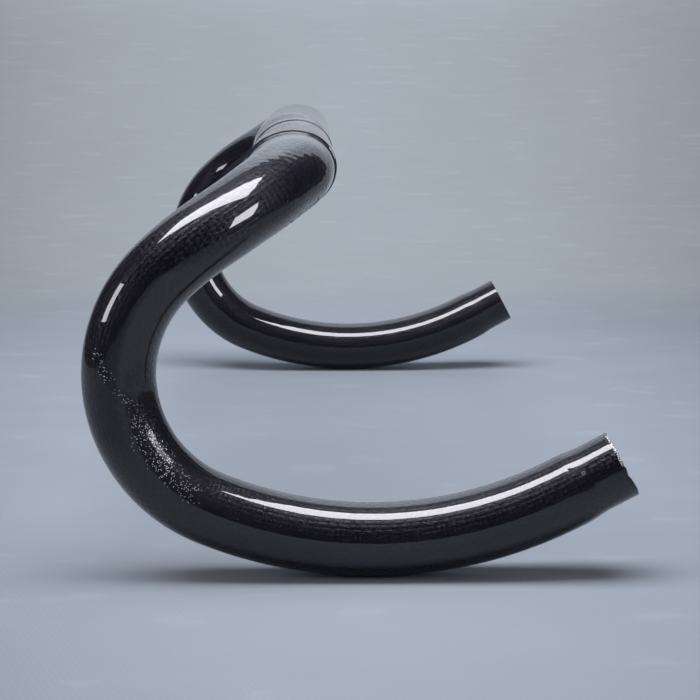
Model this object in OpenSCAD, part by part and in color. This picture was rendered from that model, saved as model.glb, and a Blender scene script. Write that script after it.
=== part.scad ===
// Road drop handlebar, moulded in carbon fibre as one hollow tube.
// The bar's axis runs along Y with the stem clamp at the origin. It stands on the backs of its two drops,
// with the hooks towards -X and the open ends towards +X.

/* [Overall] */
// Distance between the centre lines of the two drops
width = 420; // [380:5:460]
// Thickness of the laminate, the same all the way along
wall = 1.8; // [1.4:0.1:2.4]

/* [Stem clamp] */
// Diameter that the stem closes on
clamp_d = 31.8; // [31:0.1:35]
// Length of the parallel clamp zone
clamp_len = 48; // [40:1:60]
// Length of the taper from the clamp zone down to the tops, on each side
flare_len = 20; // [14:1:30]

/* [Tops] */
// Diameter of the tops beside the clamp zone
tops_d = 29.6; // [28:0.1:31]
// Depth of the tape recess below the tops
recess = 0.9; // [0.5:0.1:1.2]
// Width of the raised bead that the tape ends against
bead_w = 5; // [3:0.5:8]
// Height of the bead above the tape recess
bead_h = 0.4; // [0.2:0.1:0.5]
// Length of the parallel stretch between the bead and the neck
land_len = 4; // [2:1:30]
// Length over which the tops narrow into the shoulder
neck_len = 28; // [20:1:34]

/* [Shoulder] */
// Diameter of the tube in the shoulder bend
shoulder_d = 24; // [23:0.1:26]
// Centre line radius of the shoulder bend
shoulder_r = 27; // [22:1:34]

/* [Drop] */
// Diameter of the tube in the ramp and the hook, where a lever clamps
tube_d = 23.8; // [23:0.1:24.2]
// Diameter of the tube at its open end
end_d = 22.4; // [21.6:0.1:23]
// Angle at which the ramp climbs to the tops, as the bar stands
ramp_angle = 32.6; // [24:0.1:36]
// Length of the straight where the ramp narrows from the shoulder
ramp_len = 2; // [2:0.5:20]
// Centre line radius of the slight bend from the ramp into the hook
ease_r = 96; // [80:2:180]
// Angle of that slight bend
ease_angle = 10; // [4:0.5:14]
// Centre line radius of the hook
hook_r = 46.2; // [42:0.1:56]
// Angle that the hook turns through
hook_angle = 115.5; // [108:0.5:124]
// Centre line radius of the long sweep under the hand
drop_r = 135; // [110:1:150]
// Angle that the sweep turns through
drop_angle = 50; // [40:0.2:56]
// Length over which the tube narrows to its open end
taper_len = 8; // [6:1:30]
// Length of the straight stretch at the open end, which takes the end plug
end_len = 10; // [10:1:30]

/* [Hidden] */

// Steps that a smooth taper is turned in
steps = 10;
// Short straight that joins one bend to the next
link_len = 1;
// How far a straight laps into the bend beside it, so that the two fuse
lap = 0.5;
// How much finer a bend is than its straights, so that their surfaces cross cleanly
hair = 0.03;
// Chamfer on the lapping ends of a straight, which lies inside the bend beside it
nib = 0.3;
// Width of the tape stop's riser and of each side of the bead
riser = 0.8;
// How far the hollow is run on past the open ends
past = 2;

$fn = 64;

// Half length of the tops, between the two shoulder bends
tops_end = width / 2 - shoulder_r;
// Distance from the middle of the bar to the tape stop
stop_y = tops_end - neck_len - land_len - bead_w - 2 * riser;

function smooth(t) = t * t * (3 - 2 * t);

// Points [radius, distance] of a smooth taper from radius a at distance p to radius b at distance q
function taper(a, b, p, q) = [for (i = [0:steps]) [a + (b - a) * smooth(i / steps), p + (q - p) * i / steps]];

// Points [radius, distance] of the end of a straight of radius r at distance p that laps into a bend.
// It points back along the straight where way is -1, and on where it is 1.
function lapped(r, p, way) = [[r, p + way * lap], [r - nib, p + way * (lap + nib)], [0, p + way * (lap + nib)]];
function reversed(points) = [for (i = [len(points) - 1:-1:0]) points[i]];

// Outline of one half of the tops, from the clamp zone outwards, drawn in by inset
function tops_half(inset) =
    let (
        tops_r = tops_d / 2 - inset,
        grip_r = tops_r - recess,
        bead_r = grip_r + bead_h,
        bead_y = stop_y + riser + bead_w
    )
    concat(
        taper(clamp_d / 2 - inset, tops_r, clamp_len / 2, clamp_len / 2 + flare_len),
        [[tops_r, stop_y], [bead_r, stop_y + riser], [bead_r, bead_y], [grip_r, bead_y + riser]],
        taper(grip_r, shoulder_d / 2 - inset, tops_end - neck_len, tops_end),
        lapped(shoulder_d / 2 - inset, tops_end, 1)
    );

// The tops, turned about their own axis from one shoulder to the other
module tops(inset) {
    half = tops_half(inset);
    rotate([-90, 0, 0])
        rotate_extrude()
            polygon(concat([for (p = reversed(half)) [p[0], -p[1]]], half));
}

// A straight length along Z, narrowing smoothly from radius a to radius b, with what follows at its end
module run(length, a, b) {
    rotate_extrude()
        polygon(concat(
            reversed(lapped(a, 0, -1)),
            a == b ? [] : taper(a, b, 0, length),
            lapped(b, length, 1)
        ));
    translate([0, 0, length])
        children();
}

// The last length of a drop, narrowing smoothly from radius a to radius b before a straight stretch
module open_end(a, b, straight) {
    rotate_extrude()
        polygon(concat(
            reversed(lapped(a, 0, -1)),
            taper(a, b, 0, taper_len),
            [[b, taper_len + straight], [0, taper_len + straight]]
        ));
}

// A bend that turns from Z towards X, with what follows at its end
module bend(radius, angle, r) {
    translate([radius, 0, 0])
        rotate([90, 0, 0])
            rotate([0, 0, 180 - angle])
                rotate_extrude(angle = angle)
                    translate([radius, 0])
                        circle(r - hair);
    translate([radius, 0, 0])
        rotate([0, angle, 0])
            translate([-radius, 0, 0])
                children();
}

// One drop, from the end of the tops to its open end, drawn in by inset
module drop(inset) {
    shoulder = shoulder_d / 2 - inset;
    tube = tube_d / 2 - inset;
    tip = end_d / 2 - inset;
    straight = end_len + (inset > 0 ? past : 0);
    bend(shoulder_r, 90, shoulder)
        rotate([0, 0, -90])
            run(ramp_len, shoulder, tube)
                bend(ease_r, ease_angle, tube)
                    run(link_len, tube, tube)
                        bend(hook_r, hook_angle, tube)
                            run(link_len, tube, tube)
                                bend(drop_r, drop_angle, tube)
                                    open_end(tube, tip, straight);
}

// The whole bar, drawn in by inset: nothing for the outside, the wall for the hollow
module tube(inset) {
    tops(inset);
    for (side = [0, 1])
        mirror([0, side, 0])
            translate([0, tops_end, 0])
                rotate([-90, 0, 0])
                    rotate([0, 0, 180 - ramp_angle])
                        drop(inset);
}

module handlebar() {
    color([0.06, 0.06, 0.08])
        difference() {
            tube(0);
            tube(wall);
        }
}

handlebar();
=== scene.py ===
# %% [markdown]
# # A lacquered carbon road bar
# The object is a bare drop handlebar, moulded in carbon fibre as one hollow tube and finished in deep gloss
# lacquer. The CAD solid already has its side view and its standard diameters. What it leaves out is the oval
# section of the tops, the wide turn of the shoulders, the woven cloth under the lacquer, and the small marks
# of use. This file sweeps one fine skin along the same side view, gives it those things, and lights it as a
# photographer would, with softboxes that draw white lines along black tube.

import math

import bpy
import numpy as np
from mathutils import Matrix, Vector


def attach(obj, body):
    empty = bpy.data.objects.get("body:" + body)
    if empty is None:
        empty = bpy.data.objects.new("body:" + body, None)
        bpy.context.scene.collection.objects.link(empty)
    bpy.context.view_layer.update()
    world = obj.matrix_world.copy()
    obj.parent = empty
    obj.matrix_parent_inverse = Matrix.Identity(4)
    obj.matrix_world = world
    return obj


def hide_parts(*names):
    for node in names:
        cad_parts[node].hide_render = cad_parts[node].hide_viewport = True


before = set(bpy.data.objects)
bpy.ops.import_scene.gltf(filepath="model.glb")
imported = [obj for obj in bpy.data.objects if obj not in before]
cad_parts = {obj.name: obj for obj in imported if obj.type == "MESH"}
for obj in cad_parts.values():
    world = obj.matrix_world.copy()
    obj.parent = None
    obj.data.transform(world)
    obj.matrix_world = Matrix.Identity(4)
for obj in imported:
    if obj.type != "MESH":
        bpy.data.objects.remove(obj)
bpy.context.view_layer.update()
MM = 0.001

# %% [markdown]
# ## The path
# Seen from the side, the bar is a chain of straights and arcs: ramp, hook and drop. Seen from above, it
# leaves the straight tops in one wide turn, the shoulder. A curve drawn with handles could follow it by eye,
# but a chain worked out from the CAD's own sizes keeps the side views in step. The shoulder is rounder than
# the solid's, because the highlights on it show a wider turn. It is laid over the side view: it says how far
# out the tube has come at each distance down the ramp. Half of the bar is enough, because the other half is
# its mirror image.

# %% Sizes of the path, in millimetres and degrees
WIDTH = 420.0
SHOULDER_R = 50.0
RAMP_ANGLE = 32.6
# From the axis of the tops down: straights (length, 0) and arcs (radius, angle)
SIDE_VIEW = [
    (29.0, 0),
    (96.0, 10),
    (1.0, 0),
    (46.2, 115.5),
    (1.0, 0),
    (135.0, 50),
    (18.0, 0),
]
# Length of one small step along the centre line
FINE = 0.25
TOPS_END = WIDTH / 2 - SHOULDER_R


# %% The chain in the side view
def side_view():
    """Points (x, z) of the ramp, hook and drop, and how far along the chain each one lies."""
    heading = math.radians(180 + RAMP_ANGLE)
    place = np.zeros(2)
    points, reach = [place], [0.0]
    for size, angle in SIDE_VIEW:
        turn = math.radians(angle)
        length = size * turn if angle else size
        count = max(2, round(length / FINE))
        for k in range(1, count + 1):
            if angle:
                t = heading + turn * k / count
                out = np.array([math.sin(t) - math.sin(heading), math.cos(heading) - math.cos(t)])
                points.append(place + size * out)
            else:
                points.append(place + length * k / count * np.array([math.cos(heading), math.sin(heading)]))
            reach.append(reach[-1] + length / count)
        place = points[-1]
        heading += turn
    return np.array(points), np.array(reach)


side_points, side_reach = side_view()
print("open end, mm:", side_points[-1].round(2))


# %% The whole half, with a section frame carried along it
def half_line():
    """Centres of the half, with two section axes that turn with the tube but never twist about it."""
    tops = [(0.0, y) for y in np.arange(0, TOPS_END, FINE)]
    turns = np.linspace(0, math.pi / 2, round(SHOULDER_R * math.pi / 2 / FINE))
    shoulder = [(SHOULDER_R * (1 - math.cos(t)), TOPS_END + SHOULDER_R * math.sin(t)) for t in turns]
    rest = [(d, WIDTH / 2) for d in side_reach if d > SHOULDER_R + FINE / 2]
    down, y = np.array(tops + shoulder + rest).T
    x = np.interp(down, side_reach, side_points[:, 0])
    z = np.interp(down, side_reach, side_points[:, 1])
    centre = np.stack([x, y, z], axis=1)
    tangent = np.gradient(centre, axis=0)
    tangent /= np.linalg.norm(tangent, axis=1)[:, None]
    ramp = math.radians(RAMP_ANGLE)
    first = np.array([math.cos(ramp), 0, math.sin(ramp)])
    axes = []
    for t in tangent:
        first = first - t * (first @ t)
        first /= np.linalg.norm(first)
        axes.append((first, np.cross(first, t)))
    axes = np.array(axes)
    step = np.linalg.norm(np.diff(centre, axis=0), axis=1)
    return np.concatenate([[0], np.cumsum(step)]), centre, axes[:, 0], axes[:, 1]


line_at, line_centre, line_first, line_second = half_line()
HALF = line_at[-1]
print("length along the tube, mm:", round(2 * HALF, 1))


def half_path(distances):
    """Centre and two section axes at each distance from the middle of the bar."""
    def along_line(values):
        return np.stack([np.interp(distances, line_at, values[:, k]) for k in range(3)], axis=1)

    return along_line(line_centre), along_line(line_first), along_line(line_second)


# %% [markdown]
# ## The section
# Along the tops the tube is a flattened oval that leans with the hand, and it is round where a stem or a
# lever clamps. The tape stop is a low bead with a steep riser behind it. Each station below gives the long
# and the short half axis at one distance from the middle, and the surface eases from one to the next.

# %% Stations of the section, in millimetres: distance, long half axis, short half axis
STATIONS = [
    (0.0, 15.9, 15.85),
    (23.0, 15.9, 15.85),
    (40.4, 16.2, 13.5),
    (41.0, 16.0, 13.2),
    (143.4, 16.5, 14.0),
    (144.0, 16.5, 14.0),
    (144.4, 15.9, 13.3),
    (145.0, 15.9, 13.3),
    (145.4, 16.05, 13.45),
    (150.2, 16.05, 13.45),
    (150.6, 15.75, 13.1),
    (155.0, 15.6, 12.9),
    (168.0, 15.0, 12.7),
    (186.0, 13.8, 12.3),
    (208.0, 12.6, 12.0),
    (238.0, 11.83, 11.83),
    (HALF - 18.0, 11.83, 11.83),
    (HALF - 10.0, 11.2, 11.2),
    (HALF + 1.0, 11.2, 11.2),
]
OVAL_LEAN = 15.0
WALL = 1.8


def eased(distances, column):
    """One column of the stations at the given distances, with a smooth run between neighbours."""
    at = np.array([row[0] for row in STATIONS])
    values = np.array([row[column] for row in STATIONS])
    k = np.clip(np.searchsorted(at, distances, side="right") - 1, 0, len(at) - 2)
    t = np.clip((distances - at[k]) / (at[k + 1] - at[k]), 0, 1)
    return values[k] + (values[k + 1] - values[k]) * t * t * (3 - 2 * t)


# %% [markdown]
# ## Where the rings lie
# A swept skin is a stack of rings. They stand close together where the tube bends and where a step is sharp,
# and far apart on the straight tops, so that the triangles go where the light needs them. The near half, which
# the camera sees up close, has the finer spacing of the two.

# %% Distances of the rings: how far each spacing runs, and the gap between its rings, in millimetres
NEAR_SPACING = [
    (22.0, 2.75), (40.0, 1.8), (41.6, 0.2), (143.0, 5.0), (145.6, 0.13), (149.9, 0.8), (150.8, 0.13),
    (TOPS_END, 0.8), (225.0, 0.55), (HALF - 5.0, 0.95), (HALF - 0.3, 0.25),
]
FAR_SPACING = [
    (22.0, 2.75), (40.0, 1.8), (41.6, 0.2), (143.0, 5.0), (145.6, 0.16), (149.9, 1.0), (150.8, 0.16),
    (225.0, 1.2), (HALF - 5.0, 1.3), (HALF - 0.3, 0.4),
]
INSIDE_SPACING = [(TOPS_END, 8.0), (HALF - 18.0, 3.2), (HALF - 0.2, 2.0)]
# Spots on one ring
AROUND = 80


def ring_distances(spacing):
    """Distances from the middle of the bar, in runs of even gaps that come closest to the wanted ones."""
    places = [0.0]
    for stop, gap in spacing:
        count = max(1, round((stop - places[-1]) / gap))
        places += list(np.linspace(places[-1], stop, count + 1)[1:])
    return np.array(places)


near_out, far_out = ring_distances(NEAR_SPACING), ring_distances(FAR_SPACING)
inside = ring_distances(INSIDE_SPACING)
print("rings outside:", len(near_out) + len(far_out) - 1, "inside:", 2 * len(inside) - 1)

# %% [markdown]
# ## Waves and marks of use
# Hand-sanded lacquer is never quite flat: it waves by a few thousandths of a millimetre, and by a few
# hundredths where the cloth bunches in the shoulder. That is what makes the edges of the reflections wander.
# The near drop also bears marks. Its cut end is uneven and chipped along the rim, and the lacquer has a nick
# and a pinhole a little way in. All of it is relief in the skin, because a mark that is only painted on
# doesn't catch the light.

# %% Waves: length along, whole turns round the tube, height in mm, and phase
WAVES = [
    (6.1, 5, 0.0035, 0.3),
    (4.3, -9, 0.0025, 1.9),
    (9.7, 7, 0.0045, 4.0),
    (14.0, -3, 0.0065, 5.1),
]
# Ripples where the cloth bunches in the shoulder bend: the same four values
RIPPLES = [(2.9, 11, 0.029, 0.4), (3.4, -13, 0.025, 2.1), (2.3, 4, 0.012, 1.2)]
RIPPLE_MIDDLE, RIPPLE_REACH = 184.0, 13.0
# The bead is kept true: the waves begin past it and grow to their full height over this length
BEAD_END, WAVES_GROW = 151.0, 12.0
# Dents near the left end: distance from the end, angle from the camera's side, reach along and round, depth
DENTS = [
    (15.6, -42.0, 0.9, 0.8, 0.14),
    (12.5, -27.0, 0.7, 0.7, 0.12),
    (0.3, 14.0, 0.8, 2.0, 0.35),
    (0.4, -58.0, 0.7, 1.6, 0.10),
]
# The uneven cut: angle, spread and how far the rim stands back there, in mm
CUT = [(12.0, 7.0, 0.45), (46.0, 17.0, -0.30), (-62.0, 7.0, 0.15)]
CUT_REACH = 4.0
# Fine teeth along part of the rim: their height, how many go round, phase, and the angle and spread of the part
TOOTH, TEETH, TOOTH_PHASE, TEETH_AT, TEETH_SPREAD = 0.05, 31, 1.0, -5.0, 30.0
END_RADIUS = 11.4
print("waves:", len(WAVES), "ripples:", len(RIPPLES), "dents:", len(DENTS), "steps in the cut:", len(CUT))


def waves(distances, angle, half):
    """Height of the lacquer's waves at each ring and spot."""
    d = distances[:, None] * half
    clear_of_bead = np.clip((distances - BEAD_END) / WAVES_GROW, 0, 1)[:, None]
    bunched = np.exp(-(((distances - RIPPLE_MIDDLE) / RIPPLE_REACH) ** 2))[:, None] * clear_of_bead

    def sum_of(table):
        return sum(
            height * np.sin(2 * math.pi * d / length + turns * angle + phase)
            for length, turns, height, phase in table
        )

    return sum_of(WAVES) * clear_of_bead + sum_of(RIPPLES) * bunched


def around_gap(angle, degrees):
    """Angle between each spot and a mark, in degrees, from -180 to 180."""
    return (np.degrees(angle) - degrees + 180) % 360 - 180


def dents(distances, angle):
    """How deep each spot of the left half lies below the sound surface."""
    depth = np.zeros((len(distances), len(angle)))
    for back, degrees, reach_along, reach_round, most in DENTS:
        off_along = (HALF - back - distances)[:, None] / reach_along
        off_round = np.radians(around_gap(angle, degrees))[None, :] * END_RADIUS / reach_round
        depth += most * np.exp(-(off_along**2 + off_round**2))
    return depth


def cut_back(angle):
    """How far the left rim stands back from a true cut."""
    def near(degrees, spread):
        return np.exp(-((around_gap(angle, degrees) / spread) ** 2))

    ragged = TOOTH * np.sin(TEETH * angle + TOOTH_PHASE) * near(TEETH_AT, TEETH_SPREAD)
    return ragged + sum(most * near(degrees, spread) for degrees, spread, most in CUT)


# %% [markdown]
# ## The skin
# The skin runs along the outside, turns in over the lip of one open end, runs back through the bore and turns
# out again over the other lip. It closes on itself, so the bar is a true tube with a wall and not a shell.

# %% Sweeping the skin
def rings(distances, half, inset, outer=True):
    """Points of a ring at each distance, drawn in by inset, on the right half (1) or the left half (-1)."""
    centre, first, second = half_path(distances)
    flip = np.array([1.0, half, 1.0])
    centre, first, second = centre * flip, first * flip, second * flip
    lean = math.radians(OVAL_LEAN - RAMP_ANGLE)
    long_axis = first * math.cos(lean) + second * math.sin(lean)
    short_axis = second * math.cos(lean) - first * math.sin(lean)
    angle = np.arange(AROUND) / AROUND * 2 * math.pi
    change = waves(distances, angle, half) if outer else np.zeros((len(distances), AROUND))
    back = np.zeros((len(distances), AROUND))
    if half < 0:
        if outer:
            change = change - dents(distances, angle)
        near_end = np.clip(1 - (HALF - distances) / CUT_REACH, 0, 1) ** 2
        back = near_end[:, None] * cut_back(angle)[None, :]
    a = (eased(distances, 1) - inset)[:, None] + change
    b = (eased(distances, 2) - inset)[:, None] + change
    c = np.cos(angle - lean)[None, :, None]
    s = np.sin(angle - lean)[None, :, None]
    tangent = np.cross(second, first) * half
    return (
        centre[:, None, :]
        + a[:, :, None] * c * long_axis[:, None, :]
        + b[:, :, None] * s * short_axis[:, None, :]
        - back[:, :, None] * tangent[:, None, :]
    )


def both_halves(left, right, inset):
    """Rings from the left end to the right end."""
    outer = inset == 0
    return np.concatenate([rings(left[::-1], -1, inset, outer), rings(right[1:], 1, inset, outer)])


def signed(left, right):
    """Distances of those rings, below zero on the left half."""
    return np.concatenate([-left[::-1], right[1:]])


# The rounded lip of the mouth: how far back from the end, and how far in from the outside
LIP = [(0.12, 0.05), (0.03, 0.14), (0.0, 0.3), (0.0, 0.9), (0.0, 1.5), (0.06, 1.72)]
# Distance that the lip's rings are given in the layup map
LIP_STEP = 0.3


def lip(half):
    """Rings of one lip, from the outside in."""
    return np.concatenate([rings(np.array([HALF - back]), half, inset) for back, inset in LIP])


skin = np.concatenate([
    both_halves(near_out, far_out, 0.0),
    lip(1),
    both_halves(inside, inside, WALL)[::-1],
    lip(-1)[::-1],
])
along = np.concatenate([
    signed(near_out, far_out),
    HALF + np.arange(1, len(LIP) + 1) * LIP_STEP,
    signed(inside, inside)[::-1],
    -HALF - np.arange(len(LIP), 0, -1) * LIP_STEP,
])
# Bare laminate: 0 under lacquer, 0.5 in the raw bore and 1 on the cut edge
bare_lip = np.array([0.2, 0.8, 1, 1, 1, 0.8])
bare = np.concatenate([
    np.zeros(len(near_out) + len(far_out) - 1),
    bare_lip,
    np.full(2 * len(inside) - 1, 0.5),
    bare_lip[::-1],
])
print("skin:", skin.shape[0], "rings of", AROUND)

# %% Making the mesh
count = skin.shape[0]
index = np.arange(count * AROUND).reshape(count, AROUND)
nxt = np.roll(index, -1, axis=0)
quads = [index, np.roll(index, -1, axis=1), np.roll(nxt, -1, axis=1), nxt]
faces = np.stack(quads, axis=-1).reshape(-1, 4)
points = skin.reshape(-1, 3) * MM
first_quad = points[faces[0]]
normal = np.cross(first_quad[1] - first_quad[0], first_quad[3] - first_quad[0])
outwards = first_quad[0] - skin[0].mean(axis=0) * MM
if normal @ outwards < 0:
    faces = faces[:, ::-1]

mesh = bpy.data.meshes.new("carbon_bar")
mesh.from_pydata(points.tolist(), [], faces.tolist())
mesh.polygons.foreach_set("use_smooth", np.ones(len(faces), dtype=bool))

# The layup map: the share of a turn round the tube, and the metres along it
layup = mesh.uv_layers.new(name="layup")
corner = np.zeros(len(mesh.loops), dtype=np.int32)
mesh.loops.foreach_get("vertex_index", corner)
ring_of, spot_of = corner // AROUND, corner % AROUND
by_face = spot_of.reshape(-1, 4)
wraps = (by_face.max(axis=1) == AROUND - 1) & (by_face.min(axis=1) == 0)
round_share = spot_of / AROUND + (np.repeat(wraps, 4) & (spot_of == 0))
uv = np.stack([round_share, along[ring_of] * MM], axis=-1)
layup.data.foreach_set("uv", uv.astype(np.float32).ravel())
cut = mesh.attributes.new("bare", "FLOAT", "POINT")
cut.data.foreach_set("value", np.repeat(bare, AROUND).astype(np.float32))
mesh.validate()
bar = bpy.data.objects.new("carbon_bar", mesh)
bpy.context.scene.collection.objects.link(bar)
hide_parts("handlebar")
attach(bar, "root")
print("triangles:", 2 * len(faces))

# %% [markdown]
# ## The camera
# The picture was taken from beside the left drop, a little above it, through a long lens. The place and the
# lens were worked out from the outline of the bar in the photograph, so that both drops fall where they do
# there.

# %% The camera
PICTURE_WIDE = 700
FOCAL_PIXELS = 2048.255
SENSOR = 36.0
YAW = math.radians(1.104)
PITCH = math.radians(8.573)
EYE = Vector((7.273, -848.496, 43.98)) * MM

view_dir = Vector((math.sin(YAW) * math.cos(PITCH), math.cos(YAW) * math.cos(PITCH), -math.sin(PITCH)))
view_right = Vector((math.cos(YAW), -math.sin(YAW), 0))
view_up = view_right.cross(view_dir)
camera_data = bpy.data.cameras.new("camera")
camera_data.sensor_width = SENSOR
camera_data.lens = FOCAL_PIXELS / PICTURE_WIDE * SENSOR
camera_data.clip_start, camera_data.clip_end = 0.01, 50
camera = bpy.data.objects.new("camera", camera_data)
turn = Matrix((view_right, view_up, -view_dir)).transposed()
camera.matrix_world = Matrix.Translation(EYE) @ turn.to_4x4()
bpy.context.scene.collection.objects.link(camera)
bpy.context.scene.camera = camera
print("lens, mm:", round(camera_data.lens, 2))

# %% [markdown]
# ## Writing shaders as sums
# A node tree is a sum written with boxes and wires. The small class below wraps one wire, so that a mask can be
# written as 1 - mask and the Math nodes appear by themselves. Every other node comes from one method that
# takes its type, its settings and its inputs.

# %% A wire and a material
class Wire:
    """The end of one wire, which a sum can be written with."""

    def __init__(self, finish, socket):
        self.finish, self.socket = finish, socket

    def math(self, operation, *others):
        """A Math node that takes this wire first."""
        return self.finish.node("ShaderNodeMath", {"operation": operation}, self, *others)

    def __add__(self, other):
        return self.math("ADD", other)

    def __sub__(self, other):
        return self.math("SUBTRACT", other)

    def __rsub__(self, other):
        return self.finish.node("ShaderNodeMath", {"operation": "SUBTRACT"}, other, self)

    def __mul__(self, other):
        return self.math("MULTIPLY", other)

    def __truediv__(self, other):
        return self.math("DIVIDE", other)

    def __mod__(self, other):
        return self.math("FLOORED_MODULO", other)

    def __lt__(self, other):
        return self.math("LESS_THAN", other)

    def __pow__(self, other):
        return self.math("POWER", other)

    __radd__, __rmul__ = __add__, __mul__


class Finish:
    """A node material under construction."""

    def __init__(self, block):
        self.tree = block.node_tree
        self.tree.nodes.clear()

    def feed(self, pairs):
        """Each socket takes its wire or its plain value."""
        for socket, value in pairs:
            if isinstance(value, Wire):
                self.tree.links.new(value.socket, socket)
            else:
                socket.default_value = value

    def node(self, kind, settings=None, *inputs, out=0, **named):
        """A node with its settings, its inputs in order or by name, and the output that is wanted of it."""
        made = self.tree.nodes.new(kind)
        for name, value in (settings or {}).items():
            setattr(made, name, value)
        pairs = list(zip(made.inputs, inputs))
        pairs += [(made.inputs[name.replace("_", " ")], value) for name, value in named.items()]
        self.feed(pairs)
        return Wire(self, made.outputs[out]) if made.outputs else None

    def smooth(self, value, low, high):
        """0 below low, 1 above high, and a soft step between."""
        settings = {"interpolation_type": "SMOOTHSTEP"}
        return self.node("ShaderNodeMapRange", settings, Value=value, From_Min=low, From_Max=high)

    def blend(self, factor, first, second):
        """A mix of two colours. A Mix node keeps inputs 6 and 7 and output 2 for colours."""
        made = self.tree.nodes.new("ShaderNodeMix")
        made.data_type = "RGBA"
        self.feed([(made.inputs[0], factor), (made.inputs[6], first), (made.inputs[7], second)])
        return Wire(self, made.outputs[2])

    def scaled(self, vector, scale):
        """A vector or a colour times one value."""
        return self.node("ShaderNodeVectorMath", {"operation": "SCALE"}, vector, Scale=scale)

    def noise(self, where, scale, detail, flat=True):
        """Soft noise between 0 and 1, over a map or through space."""
        settings = {"noise_dimensions": "2D" if flat else "3D"}
        return self.node("ShaderNodeTexNoise", settings, Vector=where, Scale=scale, Detail=detail)

    def parts(self, vector):
        made = self.tree.nodes.new("ShaderNodeSeparateXYZ")
        self.tree.links.new(vector.socket, made.inputs[0])
        return [Wire(self, made.outputs[k]) for k in range(3)]


def material(name):
    made = bpy.data.materials.new(name)
    made.use_nodes = True
    return made


# %% [markdown]
# ## Carbon under lacquer
# The top layer of the tube is plain woven cloth. Each crossing shows one flat bundle of fibres, now running
# along the tube and now round it, and neighbouring bundles catch the light in turn. A photograph of cloth
# would do, but a pattern worked out from the layup map stays sharp at any distance. Clear lacquer lies over
# it as a second, smooth layer: the coat keeps its own flat normal while the cloth below is bumpy.

# %% Sizes and colours of the cloth
CELLS_ROUND = 44
CELL = 1.72 * MM
# How far the bundles stray from straight lines, in cells, and how often they do
STRAY_ROUND, STRAY_ALONG, STRAY_SCALE = 0.5, 0.6, 160.0
# Keeps whole numbers off the edge of a remainder
HAIR = 0.01
CROSSING = (0.4, 0.6)
# How much of a bundle's height is its crown across its width, and how much is lost where it dips under the next
CROWN, DIP = 0.85, 0.45
# How much darker a bundle may be by chance, and how much painted shade darkens its low parts
UNEVEN, SHADE = 0.5, 0.8
BLACK = (0.0017, 0.0012, 0.0036, 1)
RAW, CUT_EDGE = (0.020, 0.020, 0.022, 1), (0.17, 0.17, 0.18, 1)
PALE_DUST = (0.97, 0.97, 1.0, 1)
# Lit and shaded copies of one black fibre: bundles along the tube are painted lighter as a painted sheen, and
# bundles round it darker as painted shade
LIT_FIBRE_ALONG = (0.0085, 0.0064, 0.0150, 1)
SHADED_FIBRE_ROUND = (0.0038, 0.0026, 0.0072, 1)
# Values of the bare map between which the lacquer ends, and between which the cut edge begins
LACQUER_ENDS, CUT_BEGINS = (0.1, 0.4), (0.55, 0.95)
DROP_RADIUS = STATIONS[-3][1]
print("bundle, mm:", round(CELL / MM, 2), "by", round(2 * math.pi * DROP_RADIUS / CELLS_ROUND, 2))

# %% The weave
carbon = material("lacquered_carbon")
f = Finish(carbon)
layup_map = f.node("ShaderNodeUVMap", {"uv_map": "layup"})
share, run, _ = f.parts(layup_map)
stray = f.noise(layup_map, STRAY_SCALE, 1.0)
column = share * CELLS_ROUND + (stray - 0.5) * STRAY_ROUND
row = run / CELL + (stray - 0.5) * STRAY_ALONG
across = column % 1.0 - 0.5
ahead = row % 1.0 - 0.5
parity = ((column - (across + 0.5)) + (row - (ahead + 0.5)) + HAIR) % 2.0
over = f.smooth(parity, *CROSSING)

# %% Relief of the bundles
flat_across = 1 - (across * across * 4)
flat_ahead = 1 - (ahead * ahead * 4)
along_bundle = (flat_across * CROWN + (1 - CROWN)) * (flat_ahead * DIP + (1 - DIP))
round_bundle = (flat_ahead * CROWN + (1 - CROWN)) * (flat_across * DIP + (1 - DIP))
relief = along_bundle * (1 - over) + round_bundle * over
cell_id = f.node("ShaderNodeCombineXYZ", None, column - across, row - ahead, 0.0)
chance = f.node("ShaderNodeTexWhiteNoise", {"noise_dimensions": "2D"}, Vector=cell_id)

# %% Colour of the cloth with its painted sheen and painted shade, the raw bore and the cut edge
# The tone is painted sheen on bundles along the tube, random darkening by chance, and painted shade in the low
# parts of each bundle
cloth_tone_with_painted_light = f.blend(over, LIT_FIBRE_ALONG, SHADED_FIBRE_ROUND)
cloth_tone_with_painted_light = f.blend(chance * UNEVEN, cloth_tone_with_painted_light, BLACK)
cloth_tone_with_painted_light = f.blend((1 - relief) * SHADE, cloth_tone_with_painted_light, BLACK)
bareness = f.node("ShaderNodeAttribute", {"attribute_name": "bare"}, out="Fac")
no_coat = f.smooth(bareness, *LACQUER_ENDS)
dull = f.blend(no_coat, cloth_tone_with_painted_light, RAW)
dull = f.blend(f.smooth(bareness, *CUT_BEGINS), dull, CUT_EDGE)
print("nodes in the cloth:", len(carbon.node_tree.nodes))

# %% [markdown]
# ## Specks and chips
# Where the near hook was struck, the lacquer is gone in specks and the highlight breaks up. A spray of noise
# would blur them, so a pattern of cells stands for them: every cell near one of the lines below may be struck,
# and a struck cell is a dark hole or, now and then, a pale crumb that stands up. Places on the lacquer are
# given as millimetres round from the camera's side and millimetres along from the middle of the bar.

# %% Specks on the left side
# Each line of specks: start and stop as (mm round, mm along), reach and crowding
DUST_LINES = [
    ((7.0, -266.5), (3.5, -271.5), 2.9, 0.85),
    ((3.5, -271.5), (-2.5, -280.0), 2.2, 0.45),
    ((-3.0, -280.0), (-4.8, -290.0), 3.2, 0.45),
    ((-4.8, -290.0), (-5.6, -303.0), 6.4, 0.80),
    ((-5.2, -303.0), (-4.0, -319.0), 6.2, 0.80),
    ((-8.5, -294.0), (-8.5, -305.0), 2.6, 0.35),
]
# Size of a cell in mm, then shares of it: the reach of a hole and of a crumb, and how many crumbs are pale
DUST_CELL, HOLE_SIZE, CRUMB_SIZE, PALE_SHARE = 0.36, 0.58, 0.36, 0.17
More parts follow.
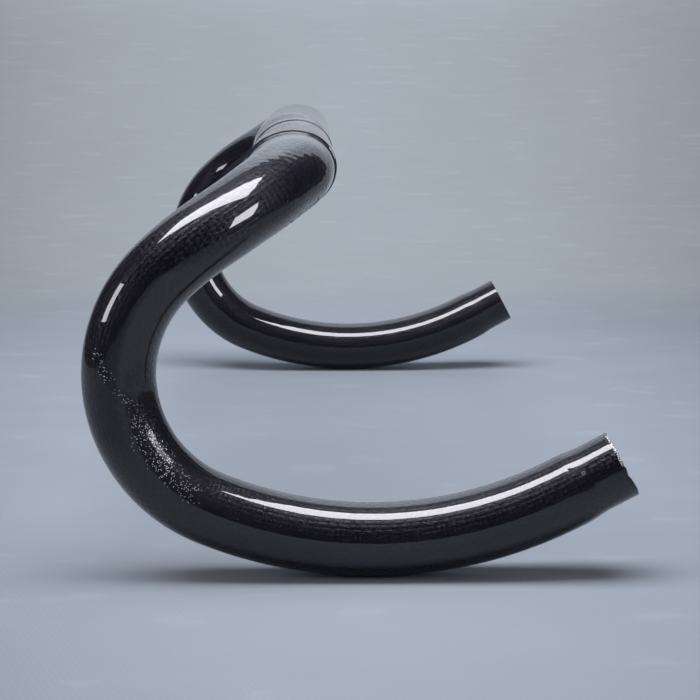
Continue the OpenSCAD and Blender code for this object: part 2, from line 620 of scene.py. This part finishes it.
# Height of a pale crumb: one part by its kind, one by its luck
HIGH_BY_KIND, HIGH_BY_LUCK = 9, 3
ROUND_MM = 2 * math.pi * 11.9
round_mm = ((share + 0.5) % 1.0 - 0.5) * ROUND_MM
place = f.node("ShaderNodeCombineXYZ", None, round_mm, run / MM, 0.0)


def near_line(start, stop, reach):
    """1 on the line between two places on the lacquer and 0 at reach from it, in mm."""
    start, stop = Vector((*start, 0)), Vector((*stop, 0))
    way = stop - start
    off = f.node("ShaderNodeVectorMath", {"operation": "SUBTRACT"}, place, start)
    share_of_way = f.node("ShaderNodeVectorMath", {"operation": "DOT_PRODUCT"}, off, way, out="Value")
    foot = f.scaled(way, f.node("ShaderNodeClamp", None, share_of_way / way.length_squared))
    gap = f.node("ShaderNodeVectorMath", {"operation": "DISTANCE"}, off, foot, out="Value")
    return 1 - f.smooth(gap, 0.0, reach)


def dust_cells(out):
    """The gap from each spot to the middle of its cell, or the cell's own chance values."""
    settings = {"voronoi_dimensions": "2D"}
    return f.node("ShaderNodeTexVoronoi", settings, Vector=place, Scale=1 / DUST_CELL, out=out)


crowding = 0.0
for start, stop, reach, most in DUST_LINES:
    crowding = near_line(start, stop, reach) * most + crowding
gap_to_crumb = dust_cells("Distance")
crumb_luck, crumb_kind, _ = f.parts(dust_cells("Color"))
struck = crumb_luck < crowding
crumbs = (gap_to_crumb < HOLE_SIZE) * struck
pale_crumbs = (gap_to_crumb < CRUMB_SIZE) * struck * (crumb_kind < PALE_SHARE)
dull = f.blend(crumbs, dull, f.blend(pale_crumbs, BLACK, PALE_DUST))
print("lines of specks:", len(DUST_LINES), "on", round(ROUND_MM, 1), "mm round")

# %% Chips near the cut end: two places that each lies between, and its reach in mm
NICK = ((-9.0, -449.3), (-8.4, -450.1), 0.85)
PIN, PIN_REACH, RING_REACH = ((-5.6, -452.8), (-5.5, -452.8)), 0.55, 1.1
FLAKED_RIM = ((-15.5, -465.3), (-2.0, -465.3), 1.5)
# Pairs of values between which each mark begins
NICK_EDGE, PIN_EDGE, RING_EDGE = (0.35, 0.6), (0.3, 0.5), (0.35, 0.7)
FLAKE_EDGE, RIM_EDGE = (0.47, 0.56), (0.25, 0.45)
FLAKE_SCALE, RING_PALE, FLAKE_BARE = 1.5, 0.35, 0.8
nick = f.smooth(near_line(*NICK), *NICK_EDGE)
at_pin = near_line(*PIN, PIN_REACH)
pinhole = f.smooth(at_pin, *PIN_EDGE)
pin_ring = f.smooth(near_line(*PIN, RING_REACH) * (1 - at_pin), *RING_EDGE)
flaking = f.smooth(f.noise(place, FLAKE_SCALE, 2.0), *FLAKE_EDGE)
rim_flakes = f.smooth(near_line(*FLAKED_RIM) * flaking, *RIM_EDGE)
chips = f.node("ShaderNodeClamp", None, nick + pinhole + rim_flakes * FLAKE_BARE)
dull = f.blend(nick, dull, BLACK)
dull = f.blend(pinhole, dull, BLACK)
dull = f.blend(pin_ring * RING_PALE, dull, PALE_DUST)
dull = f.blend(rim_flakes, dull, PALE_DUST)
gone = no_coat.math("MAXIMUM", crumbs.math("MAXIMUM", chips))

# %% The surface
# Roughness of the bundles along the tube, what a bundle round it adds, and what missing lacquer adds
CLOTH_ROUGH, ROUND_ADDS, BARE_ADDS = 0.36, 0.1, 0.2
CRUMB_METAL = 0.6
crumb_height = pale_crumbs * (crumb_kind * HIGH_BY_KIND + crumb_luck * HIGH_BY_LUCK)
bumps = f.node("ShaderNodeBump", None, Strength=0.9, Distance=0.00016, Height=relief + crumb_height)
surface = f.node(
    "ShaderNodeBsdfPrincipled", None,
    Base_Color=dull, Metallic=pale_crumbs * CRUMB_METAL, Normal=bumps,
    Roughness=CLOTH_ROUGH + over * ROUND_ADDS + gone * BARE_ADDS,
    Coat_Weight=1 - gone, Coat_Roughness=0.012, Coat_IOR=1.5,
    Specular_IOR_Level=0.20,
)
f.node("ShaderNodeOutputMaterial", None, surface)
mesh.materials.append(carbon)
print("nodes in the carbon:", len(carbon.node_tree.nodes))

# %% [markdown]
# ## The floor and the backdrop
# The bar stands on a sheet of fine grey cloth that runs on up behind it. One swept sheet does both, with a
# wide curve in place of a corner, so that no line shows behind the object. Its back is see-through, so the
# object can also be looked at from behind.

# %% The sheet
FLOOR = -125.4 * MM
FRONT, CURVE_START, CURVE_R = -1.35, 0.55, 0.5
TOP, HALF_WIDE, SEEN_IN_GLOSS = 1.6, 1.9, 0.85
FLOOR_STEPS, CURVE_STEPS = 40, 25


def sheet_profile():
    """Points (y, z) of the sheet, from its front edge over the curve to its top, in metres above the floor."""
    line = [(y, 0.0) for y in np.linspace(FRONT, CURVE_START, FLOOR_STEPS)]
    for angle in np.linspace(0, math.pi / 2, CURVE_STEPS)[1:]:
        line.append((CURVE_START + CURVE_R * math.sin(angle), CURVE_R * (1 - math.cos(angle))))
    line.append((CURVE_START + CURVE_R, TOP))
    return line


profile = sheet_profile()
sheet_points = [(x, y, FLOOR + z) for x in (-HALF_WIDE, HALF_WIDE) for y, z in profile]
rows = len(profile)
sheet_faces = [(k, rows + k, rows + k + 1, k + 1) for k in range(rows - 1)]
sheet_mesh = bpy.data.meshes.new("studio_sheet")
sheet_mesh.from_pydata(sheet_points, [], sheet_faces)
sheet_mesh.polygons.foreach_set("use_smooth", np.ones(len(sheet_faces), dtype=bool))
sheet = bpy.data.objects.new("studio_sheet", sheet_mesh)
bpy.context.scene.collection.objects.link(sheet)
print("sheet, faces:", len(sheet_faces))

# %% Cloth of the sheet
GREY = (0.385, 0.425, 0.485, 1)
# In metres: where the lit floor fades into the glowing backdrop, and the two heights over which the glow grows
FADE, GLOW_LOW, GLOW_HIGH = (0.30, 0.62), (0.04, 0.30), (0.35, 1.1)
LOW_GAIN, HIGH_GAIN = 0.9, 1.6
# Clouds in the tone, and the fine weft of the cloth: threads per metre, their slant and their strength
CLOUD_SCALE, CLOUDS = 9.0, 0.10
WEFT_DENSITY, WEFT_SLANT, WEFT = 3300, 0.35, 0.012
# Slubs: thick threads that run across the picture, as turns per metre across and up it, and their strength
SLUB_ACROSS, SLUB_UP, FLOOR_TILT, SLUBS, THICK_SLUB = 26, 260, 0.16, 0.05, (0.66, 0.74)
# Painted shade: the sheet is painted darker to both sides of a line that fans out from the camera
FAN_MIDDLE, FAN_START, FAN_GAIN, FAN_MOST = 0.03, 1.25, 12.0, 0.35
cloth = material("studio_cloth")
g = Finish(cloth)
here = g.node("ShaderNodeTexCoord", None, out="Object")
sx, sy, sz = g.parts(here)
fade = g.smooth(sy, *FADE)
clouds = g.noise(here, CLOUD_SCALE, 3.0, flat=False)
weft = ((sx + sy * WEFT_SLANT) * WEFT_DENSITY).math("SINE")
# Painted shade, growing towards both sides of the sheet
painted_side_shade = (((sx - FAN_MIDDLE) / (sy + FAN_START)) ** 2.0 * FAN_GAIN).math("MINIMUM", FAN_MOST)
threads = g.node("ShaderNodeCombineXYZ", None, sx * SLUB_ACROSS, (sz + sy * FLOOR_TILT) * SLUB_UP, 0.0)
slubs = g.noise(threads, 1.0, 2.0)
streaks = (slubs - 0.5) * SLUBS + g.smooth(slubs, *THICK_SLUB) * SLUBS
level = 1.0 + (clouds - 0.5) * CLOUDS + streaks + weft * WEFT * (1 - fade) - painted_side_shade
toned = g.scaled(GREY[:3], level)
glow_level = 1.0 + g.smooth(sz, *GLOW_LOW) * LOW_GAIN + g.smooth(sz, *GLOW_HIGH) * HIGH_GAIN
lit = g.node("ShaderNodeBsdfDiffuse", None, Color=toned, Roughness=0.6)
glow = g.node("ShaderNodeEmission", None, Color=g.scaled(toned, glow_level), Strength=1.0)
both = g.node("ShaderNodeMixShader", None, fade, lit, glow)

# %% What is seen of the sheet
# Gloss sees only the middle of it, as if black screens stood at its sides
past_screen = sx.math("ABSOLUTE").math("GREATER_THAN", SEEN_IN_GLOSS)
screened = g.node("ShaderNodeLightPath", None, out="Is Glossy Ray") * past_screen
behind = g.node("ShaderNodeNewGeometry", None, out="Backfacing")
clear = g.node("ShaderNodeBsdfTransparent")
shown = g.node("ShaderNodeMixShader", None, behind.math("MAXIMUM", screened), both, clear)
g.node("ShaderNodeOutputMaterial", None, shown)
sheet_mesh.materials.append(cloth)
print("nodes in the sheet:", len(cloth.node_tree.nodes))

# %% [markdown]
# ## Light
# Black gloss shows little but reflections, so the softboxes are placed where their reflections fall in the
# photograph: one long box overhead, one to the left and one tall strip to the right. Each is a lamp that
# lights the scene and a glowing panel in the same place that only reflections see.

# %% A softbox
LAMP_WHITE = (0.95, 0.96, 1.0)
SOFT_WHITE = (0.925, 0.915, 1.0)


def softbox(name, low, high, power, shine, corners=None):
    """A lamp on the rectangle between two corners, turned to the bar's side of it, and its panel.

    The panel covers the same rectangle unless corners give it a shape of its own."""
    low, high = Vector(low), Vector(high)
    middle = (low + high) / 2
    span = high - low
    flat = min(range(3), key=lambda k: abs(span[k]))
    first, second = [k for k in range(3) if k != flat]
    data = bpy.data.lights.new(name + "_lamp", "AREA")
    data.shape, data.energy, data.color = "RECTANGLE", power, LAMP_WHITE
    lamp = bpy.data.objects.new(name + "_lamp", data)
    axis = Vector([0, 0, 0])
    axis[flat] = 1.0 if middle[flat] > 0 else -1.0
    side = Vector([0, 0, 0])
    side[first] = 1.0
    other = axis.cross(side)
    data.size, data.size_y = abs(span[first]), abs(span[second])
    lamp.matrix_world = Matrix.Translation(middle) @ Matrix((side, other, axis)).transposed().to_4x4()
    lamp.visible_glossy = False
    bpy.context.scene.collection.objects.link(lamp)
    if corners is None:
        corners = []
        for u, v in ((0, 0), (1, 0), (1, 1), (0, 1)):
            spot = low.copy()
            spot[first] += span[first] * u
            spot[second] += span[second] * v
            corners.append(spot)
    panel_mesh = bpy.data.meshes.new(name)
    panel_mesh.from_pydata(corners, [], [tuple(range(len(corners)))])
    panel = bpy.data.objects.new(name, panel_mesh)
    bpy.context.scene.collection.objects.link(panel)
    paint = material(name + "_glow")
    p = Finish(paint)
    light = p.node("ShaderNodeEmission", None, Color=(*SOFT_WHITE, 1), Strength=shine)
    p.node("ShaderNodeOutputMaterial", None, light)
    paint.cycles.emission_sampling = "NONE"
    panel_mesh.materials.append(paint)
    for ray in ("camera", "diffuse", "transmission", "volume_scatter", "shadow"):
        setattr(panel, "visible_" + ray, False)
    print(name + ", m:", round(data.size, 2), "by", round(data.size_y, 2))


# %% The three softboxes, in metres and watts
OVERHEAD = 0.90
# The overhead box hangs askew, so its reflections run out to points
OVERHEAD_CORNERS = [(0.44, -0.45), (0.25, -0.03), (-0.50, -0.12), (-0.80, -0.43), (-0.50, -0.50)]
softbox(
    "overhead_box", (-0.85, -0.47, OVERHEAD), (0.50, 0.03, OVERHEAD), power=14.6, shine=17.0,
    corners=[(x, y, OVERHEAD) for x, y in OVERHEAD_CORNERS],
)
softbox("left_box", (-1.00, -0.64, 0.14), (-1.00, -0.36, 0.43), power=1.5, shine=11.0)
softbox("right_strip", (1.75, -1.80, 0.36), (1.75, -0.92, 1.14), power=3.5, shine=15.0)

# %% Room light: a soft fill, next to nothing in reflections, and the sheet's grey past its edges
ROOM_FILL, ROOM_IN_GLOSS = (0.12, 0.12, 0.125, 1), (0.012, 0.012, 0.016, 1)
world = bpy.data.worlds.new("room")
bpy.context.scene.world = world
world.use_nodes = True
w = Finish(world)
fill, dim, pale = [
    w.node("ShaderNodeBackground", None, Color=colour, Strength=1.0)
    for colour in (ROOM_FILL, ROOM_IN_GLOSS, GREY)
]
glossy_ray = w.node("ShaderNodeLightPath", None, out="Is Glossy Ray")
camera_ray = w.node("ShaderNodeLightPath", None, out="Is Camera Ray")
room = w.node("ShaderNodeMixShader", None, glossy_ray, fill, dim)
room = w.node("ShaderNodeMixShader", None, camera_ray, room, pale)
w.node("ShaderNodeOutputWorld", None, room)
print("world:", world.name)

# %% Colour management
bpy.context.scene.view_settings.view_transform = "Standard"
